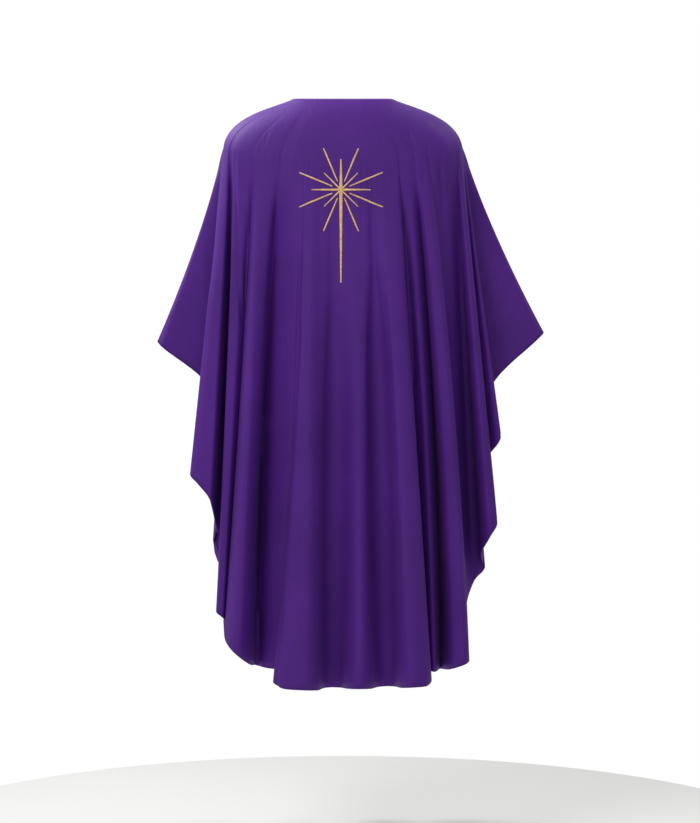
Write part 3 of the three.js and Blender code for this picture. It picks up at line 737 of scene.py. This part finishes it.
# %% Turn the hems and lay the facings
FACING_DEPTH = 70  # how far the neck facing reaches down inside
FOLD_LAYER = 0.6
INSIDE, HEM_END, FACING_END = 1.7, 1.9, 1.95  # depths behind the face
ROLL = [(0.5, 0.1), (-0.4, 0.25), (-0.8, 0.8), (-0.6, 1.35), (0, 1.6)]
for end in SHAPES:
    up_the_inside = [(d, INSIDE) for d in np.linspace(2, HEM_TURN - 2, 5)] + [(HEM_TURN, HEM_END)]
    hem = edge_strip(f"{end}_hem", end, ROLL + up_the_inside, "hem")
    thicken(hem, FOLD_LAYER)
    dress(hem, outer_cloth, "outer_cloth", f"{end}_turned_hem")
    down_the_inside = [(d, INSIDE) for d in np.linspace(FACING_DEPTH - 2, 2, 8)]
    down_the_inside.insert(0, (FACING_DEPTH, FACING_END))
    # The facing's darker colour at the neck edge is partly painted shade.
    facing = edge_strip(f"{end}_facing", end, down_the_inside + ROLL[::-1], "neck")
    thicken(facing, FOLD_LAYER)
    dress(facing, wrong_side_cloth_painted_shade, "facing_cloth", f"{end}_neck_facing")
    sewn_on[end] += [hem, facing]
    print(end, "hem and facing:", len(hem.data.polygons), len(facing.data.polygons), "faces")

# %% [markdown]
# A stitch is a short thread that dives into the cloth at both ends. We model one, a thin rod with
# narrow ends, and lay copies of it along a line. The copies bend: each ring of the rod takes
# its own place on the path, so the same helper lays stitches, satin threads and their padding.

# %% One rod, many copies
def rod_template(sides, rings, ends):
    """A rod along X from 0 to 1 with a unit section, as points, faces and the ring of each point."""
    bpy.ops.object.select_all(action="DESELECT")
    lying, middle = (0, math.pi / 2, 0), (0.5, 0, 0)
    bpy.ops.mesh.primitive_cylinder_add(vertices=sides, radius=1, depth=1, location=middle, rotation=lying)
    rod = bpy.context.object
    bpy.ops.object.transform_apply(location=True, rotation=True, scale=True)
    bpy.ops.object.mode_set(mode="EDIT")
    bpy.ops.mesh.select_all(action="DESELECT")
    edit = bmesh.from_edit_mesh(rod.data)
    for edge in edit.edges:
        a, b = (v.co for v in edge.verts)
        edge.select_set(abs(a.x - b.x) > 0.9)
    bmesh.update_edit_mesh(rod.data)
    bpy.ops.mesh.subdivide(number_cuts=rings - 2)
    bpy.ops.mesh.select_all(action="SELECT")
    bpy.ops.mesh.normals_make_consistent(inside=False)
    bpy.ops.object.mode_set(mode="OBJECT")
    points = np.array([v.co for v in rod.data.vertices])
    faces = [list(p.vertices) for p in rod.data.polygons]
    ring = np.rint(points[:, 0] * (rings - 1)).astype(int)
    at_end = (ring == 0) | (ring == rings - 1)
    points[at_end, 1:] *= ends
    bpy.data.objects.remove(rod)
    return points, faces, ring


STITCH_RINGS = 5
stitch_rod = rod_template(5, STITCH_RINGS, ends=0.45)
print("stitch:", len(stitch_rod[1]), "faces")

# %% Lay the copies
def lay_copies(name, rod, paths, ups, half_width, half_height):
    """Lay a rod along each path; paths and ups are copies x rings x 3, in mm."""
    points, faces, ring = rod
    along = unit(np.gradient(paths, axis=1))
    across = unit(np.cross(ups, along))
    up = np.cross(along, across)
    wide = np.broadcast_to(half_width, paths.shape[:2])[:, ring, None] * points[:, 1][None, :, None]
    high = np.broadcast_to(half_height, paths.shape[:2])[:, ring, None] * points[:, 2][None, :, None]
    placed = paths[:, ring] + across[:, ring] * wide + up[:, ring] * high
    count = len(points)
    all_faces = [[v + k * count for v in face] for k in range(len(paths)) for face in faces]
    mesh = bpy.data.meshes.new(name)
    mesh.from_pydata((placed.reshape(-1, 3) * MM).tolist(), [], all_faces)
    for polygon in mesh.polygons:
        polygon.use_smooth = True
    piece = bpy.data.objects.new(name, mesh)
    bpy.context.collection.objects.link(piece)
    return piece


# %% [markdown]
# A row of running stitch holds each hem and each facing. The thread shows, then dives, then shows
# again, and the row starts and stops a little short of the shoulder seams.

# %% Rows of running stitch
STITCH, STITCH_GAP, THREAD_RADIUS = 2.4, 0.9, 0.22
STITCH_RISE = np.array([-0.25, 0.12, 0.2, 0.12, -0.25])  # height above the cloth, ring by ring
ROW_START, ROW_STOP = 4, 6  # mm from the ends of the edge
HEM_ROW, NECK_ROW = HEM_TURN - 3, 6  # mm from the edge


def stitch_row(name, line, facing):
    """A row of running stitches along a line that lies on the cloth."""
    far = np.concatenate([[0], np.cumsum(np.linalg.norm(np.diff(line, axis=0), axis=1))])
    starts = np.arange(ROW_START, far[-1] - ROW_STOP, STITCH + STITCH_GAP)
    at = starts[:, None] + np.linspace(0, STITCH, STITCH_RINGS)[None, :]
    paths = np.stack([np.interp(at, far, line[:, axis]) for axis in range(3)], -1)
    ups = unit(np.stack([np.interp(at, far, facing[:, axis]) for axis in range(3)], -1))
    paths = paths + ups * STITCH_RISE[None, :, None]
    return lay_copies(name, stitch_rod, paths, ups, THREAD_RADIUS, THREAD_RADIUS)


for end in SHAPES:
    for edge, distance in (("hem", HEM_ROW), ("neck", NECK_ROW)):
        row = stitch_row(f"{end}_{edge}_stitches", *beside_edge(end, distance, 0, edge))
        dress(row, sewing_thread, "outer_cloth")
        sewn_on[end].append(row)
        print(row.name, len(row.data.polygons), "faces")

# %% [markdown]
# The star-cross is satin stitch: gold thread laid side by side across each ray, over a low padding
# that rounds it. Real thread is 0.4 mm wide, and here it is 0.55 mm, so that it shows. Each ray is
# a piece of its own. To follow the folds, every point of a thread is found by a ray cast straight
# at the panel, and then lifted along the cloth's own normal.

# %% Find the face of the cloth
panel_tree = {}
for end in SHAPES:
    corners, sides = panel[end].data.vertices, panel[end].data.polygons
    panel_tree[end] = BVHTree.FromPolygons([v.co for v in corners], [p.vertices for p in sides])


def on_face(end, x, z):
    """The face of the cloth and its normal, for arrays of x and z in mm."""
    side = SHAPES[end]["side"]
    places, normals, inwards = [], [], Vector((0, -side, 0))
    for px, pz in zip(np.ravel(x), np.ravel(z)):
        place, normal, _, _ = panel_tree[end].ray_cast(Vector((px * MM, side, pz * MM)), inwards)
        places.append(place / MM)
        normals.append(normal if normal.y * side > 0 else -normal)
    shape = (*np.shape(x), 3)
    return np.array(places).reshape(shape), unit(np.array(normals).reshape(shape))


MOTIF_X, MOTIF_Z = -4, {"back": -205, "front": -300}
print("back star's centre, mm:", on_face("back", MOTIF_X, MOTIF_Z["back"])[0].round(1))

# %% [markdown]
# The star has one long upright, two arms, four diagonals between them, and eight rays further out,
# four steep and four shallow. Each stroke is a straight line with a width at its start, at its waist
# and at its end. The arms tuck in under the edge of the upright, and the rays start clear of it.

# %% The strokes of the star
UPRIGHT_UP, UPRIGHT_DOWN, ARM_REACH, DIAGONAL_START, DIAGONAL_REACH = 67, 203, 64, 3.0, 37
RAY_LONG, RAY_SHORT, RAY_START = 91, 38, (18.5, 7.6)
UPRIGHT_WIDTHS, ARM_WIDTHS = (3.2, 8, 3.4), (5.6, 4.2, 2.4)
DIAGONAL_WIDTHS, RAY_WIDTHS = (3.6, 2.88, 2.2), (2.6, 4.0, 3.0)
ARM_TUCK = 0.5


def motif_strokes():
    """Each stroke as its two ends, its widths at start, waist and end, and where the waist is."""
    up_share = UPRIGHT_UP / (UPRIGHT_UP + UPRIGHT_DOWN)
    strokes = {"upright": ((0, UPRIGHT_UP), (0, -UPRIGHT_DOWN), UPRIGHT_WIDTHS, up_share)}
    long, short = RAY_START
    clear, near, far = UPRIGHT_WIDTHS[1] / 2 - ARM_TUCK, DIAGONAL_START, DIAGONAL_REACH
    for side, sx in (("left", -1), ("right", 1)):
        strokes[f"arm_{side}"] = ((sx * clear, 0), (sx * ARM_REACH, 0), ARM_WIDTHS, 0.5)
        for level, sz in (("upper", 1), ("lower", -1)):
            strokes[f"diagonal_{level}_{side}"] = (
                (sx * near, sz * near), (sx * far, sz * far), DIAGONAL_WIDTHS, 0.5,
            )
            strokes[f"steep_ray_{level}_{side}"] = (
                (sx * short, sz * long), (sx * RAY_SHORT, sz * RAY_LONG), RAY_WIDTHS, 0.6,
            )
            strokes[f"shallow_ray_{level}_{side}"] = (
                (sx * long, sz * short), (sx * RAY_LONG, sz * RAY_SHORT), RAY_WIDTHS, 0.6,
            )
    return strokes


print("strokes:", len(motif_strokes()))

# %% [markdown]
# One stroke is a low pad with the threads across it. The threads slant a little, as a hand or a
# machine lays them, and small random shifts keep them from looking ruled.

# %% Sew one stroke
SATIN_PITCH, SATIN_SLANT = 0.55, math.radians(72)
THREAD_RINGS, PAD_RINGS = 6, 28
THREAD_WIDE, THREAD_HIGH = SATIN_PITCH * 0.56, SATIN_PITCH * 0.42  # half sizes; neighbours just overlap
PAD_HEIGHT, DOME_HEIGHT, SWELL = 0.35, 0.30, 0.09  # mm, and more by a share of the width
PAD_INSET, DOME_ROUND, THREAD_LIFT = 0.15, 0.985, 0.05
SHIFT = 0.12  # of a thread along the stroke, as a share of its pitch, and across, in mm
thread_rod = rod_template(5, THREAD_RINGS, ends=0.5)
pad_rod = rod_template(8, PAD_RINGS, ends=0.3)


def satin_stroke(name, end, start, finish, widths, waist, seed):
    """Threads and pad of one stroke, joined."""
    start, finish = np.array(start, float), np.array(finish, float)
    way = finish - start
    length = np.linalg.norm(way)
    along = way / length
    across = np.array([-along[1], along[0]])
    centre = np.array([MOTIF_X, MOTIF_Z[end]])

    def width_at(t):
        return np.interp(t, [0, waist, 1], widths)

    t = np.linspace(0, 1, PAD_RINGS)
    flat = centre + start + way * t[:, None]
    place, up = on_face(end, flat[:, 0], flat[:, 1])
    half, height = width_at(t) / 2 - PAD_INSET, PAD_HEIGHT + SWELL * width_at(t)
    pad = lay_copies(name + "_pad", pad_rod, place[None], up[None], half[None], height[None])

    count = max(6, int(length / SATIN_PITCH))
    wobble = np.random.default_rng(seed).uniform(-1, 1, (count, 3))
    t = (np.arange(count) + 0.5 + SHIFT * wobble[:, 0]) / count
    share = np.linspace(-1, 1, THREAD_RINGS)
    reach = (width_at(t) / 2 + SHIFT * wobble[:, 1])[:, None] * share[None, :]
    slanted = across * math.sin(SATIN_SLANT) + along * math.cos(SATIN_SLANT)
    flat = centre + start + way * t[:, None, None] + reach[..., None] * slanted
    place, up = on_face(end, flat[..., 0], flat[..., 1])
    dome = (DOME_HEIGHT + SWELL * width_at(t))[:, None] * np.sqrt(1 - DOME_ROUND * share**2)[None, :]
    place = place + up * (dome + THREAD_LIFT + THREAD_LIFT * wobble[:, 2:])[..., None]
    threads = lay_copies(name, thread_rod, place, up, THREAD_WIDE, THREAD_HIGH)
    select_only(threads, pad)
    bpy.ops.object.join()
    return threads


print("one thread:", len(thread_rod[1]), "faces")

# %% Sew both stars
for end in SHAPES:
    faces = 0
    for number, (stroke, (start, finish, widths, waist)) in enumerate(motif_strokes().items()):
        piece = satin_stroke(f"{end}_gold_{stroke}", end, start, finish, widths, waist, seed=number)
        dress(piece, gold_thread, "gold_thread", f"{end}_star_{stroke}")
        sewn_on[end].append(piece)
        faces += len(piece.data.polygons)
    print(end, "star-cross:", faces, "faces")

# %% [markdown]
# Behind the stitching stays a patch of stabiliser, a thin non-woven sheet that stopped the needle
# from puckering the cloth. Along each shoulder seam a twill tape takes the weight. Inside the back
# of the neck hangs a small woven label, here left blank. All are thin sheets laid behind the cloth.

# %% Stabiliser, seam tapes and label
BACKING_STEP, BACKING_THICK, BACKING_DEPTH = 6, 0.5, 2.5
BACKING_OUTLINE = [(-215, 22), (-120, 34), (-62, 96), (62, 96), (104, 50)]  # height, half width
for end in SHAPES:
    heights, halves = np.array(BACKING_OUTLINE, float).T  # heights from the star's centre
    above = np.linspace(heights[-1], heights[0], int((heights[-1] - heights[0]) / BACKING_STEP))
    half = np.interp(above, heights, halves)
    xs = MOTIF_X + half[:, None] * np.linspace(-1, 1, 33)[None, :]
    zs = np.broadcast_to(MOTIF_Z[end] + above[:, None], xs.shape)
    place, up = on_face(end, xs, zs)
    place = place - up * (CLOTH_THICK + BACKING_DEPTH)
    patch = cloth_object(f"{end}_stabiliser", place, SHAPES[end]["side"])
    thicken(patch, BACKING_THICK)
    dress(patch, stabiliser, "stabiliser", f"{end}_embroidery_backing")
    sewn_on[end].append(patch)
    print(patch.name, len(patch.data.polygons), "faces")


# %% Tapes along the shoulder seams
def from_shoulder(end, row, distance, left):
    """A point on one row of a panel, at a distance along it from the shoulder line, and its normal."""
    points, normals = outer[end][row], face_normals[end][row]
    if not left:
        points, normals = points[::-1], normals[::-1]
    far = np.concatenate([[0], np.cumsum(np.linalg.norm(np.diff(points, axis=0), axis=1))])
    place, normal = np.empty(3), np.empty(3)
    for axis in range(3):
        place[axis] = np.interp(distance, far, points[:, axis])
        normal[axis] = np.interp(distance, far, normals[:, axis])
    return place, normal


TAPE_ACROSS = (6, 3, 0.5)  # mm from the shoulder line, on each side of it
TAPE_DEPTH, TAPE_THICK, TAPE_LEAN = 2.6, 0.6, np.array([0, 0, 0.6])
for name, left in (("left", True), ("right", False)):
    rows = []
    for row in range(4, SHOULDER_ROWS - 1):
        section = []
        for end, distances in (("back", TAPE_ACROSS), ("front", TAPE_ACROSS[::-1])):
            for distance in distances:
                place, normal = from_shoulder(end, row, distance, left)
                section.append(place - unit(normal + TAPE_LEAN) * TAPE_DEPTH)
        rows.append(section)
    tape = cloth_object(f"{name}_shoulder_tape", np.array(rows), -1 if left else 1)
    thicken(tape, TAPE_THICK)
    dress(tape, twill_tape, "seam_tape", f"shoulder_seam_tape_{name}")
    sewn_on["back"].append(tape)
    print(tape.name, len(tape.data.polygons), "faces")

# %% A blank label
LABEL_WIDTH, LABEL_TOP, LABEL_BOTTOM = 50, 18, 48
LABEL_DEPTH, LABEL_THICK = 2.7, 0.4
label_rows = []
for distance in np.linspace(LABEL_TOP, LABEL_BOTTOM, 8):
    line, _ = beside_edge("back", distance, LABEL_DEPTH, "neck")
    line = line[len(line) // 4 : 3 * len(line) // 4]
    xs = np.linspace(-LABEL_WIDTH / 2, LABEL_WIDTH / 2, 14)
    ys, zs = (np.interp(xs, line[:, 0], line[:, axis]) for axis in (1, 2))
    label_rows.append(np.stack([xs, ys, zs], 1))
label = cloth_object("blank_neck_label", np.array(label_rows)[::-1], -1)
thicken(label, LABEL_THICK)
dress(label, label_satin, "label_cloth", "neck_label")
sewn_on["back"].append(label)
print(label.name, len(label.data.polygons), "faces")

# %% [markdown]
# Under the garment lies a round floor of the paper, 2.2 m across, so that the light that comes up
# from it is soft. It glows a little by itself, which keeps it as pale as lit studio paper.

# %% Floor
FLOOR_RADIUS, FLOOR_Z = 1.1, -1.65
bpy.ops.object.select_all(action="DESELECT")
place = (0, 0, FLOOR_Z)
bpy.ops.mesh.primitive_circle_add(vertices=96, radius=FLOOR_RADIUS, fill_type="NGON", location=place)
floor = bpy.context.object
floor.name = "studio_floor"
bpy.ops.object.transform_apply(location=True)
floor.data.materials.append(studio_paper)
print("floor:", FLOOR_RADIUS, "m in radius, at", FLOOR_Z, "m from the neck")

# %% [markdown]
# The light is soft. The key is a large lamp on the camera's side, above and to the left. A larger and
# weaker one from the front opens the valleys, and two small ones from the far side, the left one
# stronger, bring out the rounding of the shoulders. An even white surround fills the shadows, and is
# brighter where the camera sees it, as a lit backdrop is.

# %% Light
def area_light(name, place, target, size, watts):
    """A round white lamp at a place in m, turned to a target."""
    lamp = bpy.data.lights.new(name, "AREA")
    lamp.energy, lamp.size, lamp.shape = watts, size, "DISK"
    holder = bpy.data.objects.new(name, lamp)
    holder.location = place
    aim = Vector(target) - Vector(place)
    holder.rotation_euler = aim.to_track_quat("-Z", "Y").to_euler()
    bpy.context.collection.objects.link(holder)


area_light("key", (-1.5, -2.0, 1.65), (0, 0, -0.25), 1.5, 42)
area_light("front", (0.3, -4.0, 0.8), (0, 0, -0.4), 2.2, 18)
area_light("left_shoulder", (-1.1, 0.45, 1.0), (-0.17, 0, -0.05), 0.5, 30)
area_light("right_shoulder", (1.1, 0.45, 1.0), (0.17, 0, -0.05), 0.5, 8)
print("lamps:", len(bpy.data.lights))

# %% Surround
world = bpy.data.worlds.new("studio")
bpy.context.scene.world = world
world.use_nodes = True
surround = world.node_tree
FILL, BACKGROUND = 0.42, 1.0
seen = add_node(surround, "ShaderNodeLightPath").outputs["Is Camera Ray"]
add_on = {"operation": "MULTIPLY_ADD"}
strength = add_node(surround, "ShaderNodeMath", add_on, _0=seen, _1=BACKGROUND - FILL, _2=FILL)
surround.nodes["Background"].inputs["Color"].default_value = linear("#FFFFFF")
surround.links.new(strength.outputs[0], surround.nodes["Background"].inputs["Strength"])
bpy.context.scene.view_settings.view_transform = "Standard"
print("surround:", FILL, "on the cloth,", BACKGROUND, "behind it")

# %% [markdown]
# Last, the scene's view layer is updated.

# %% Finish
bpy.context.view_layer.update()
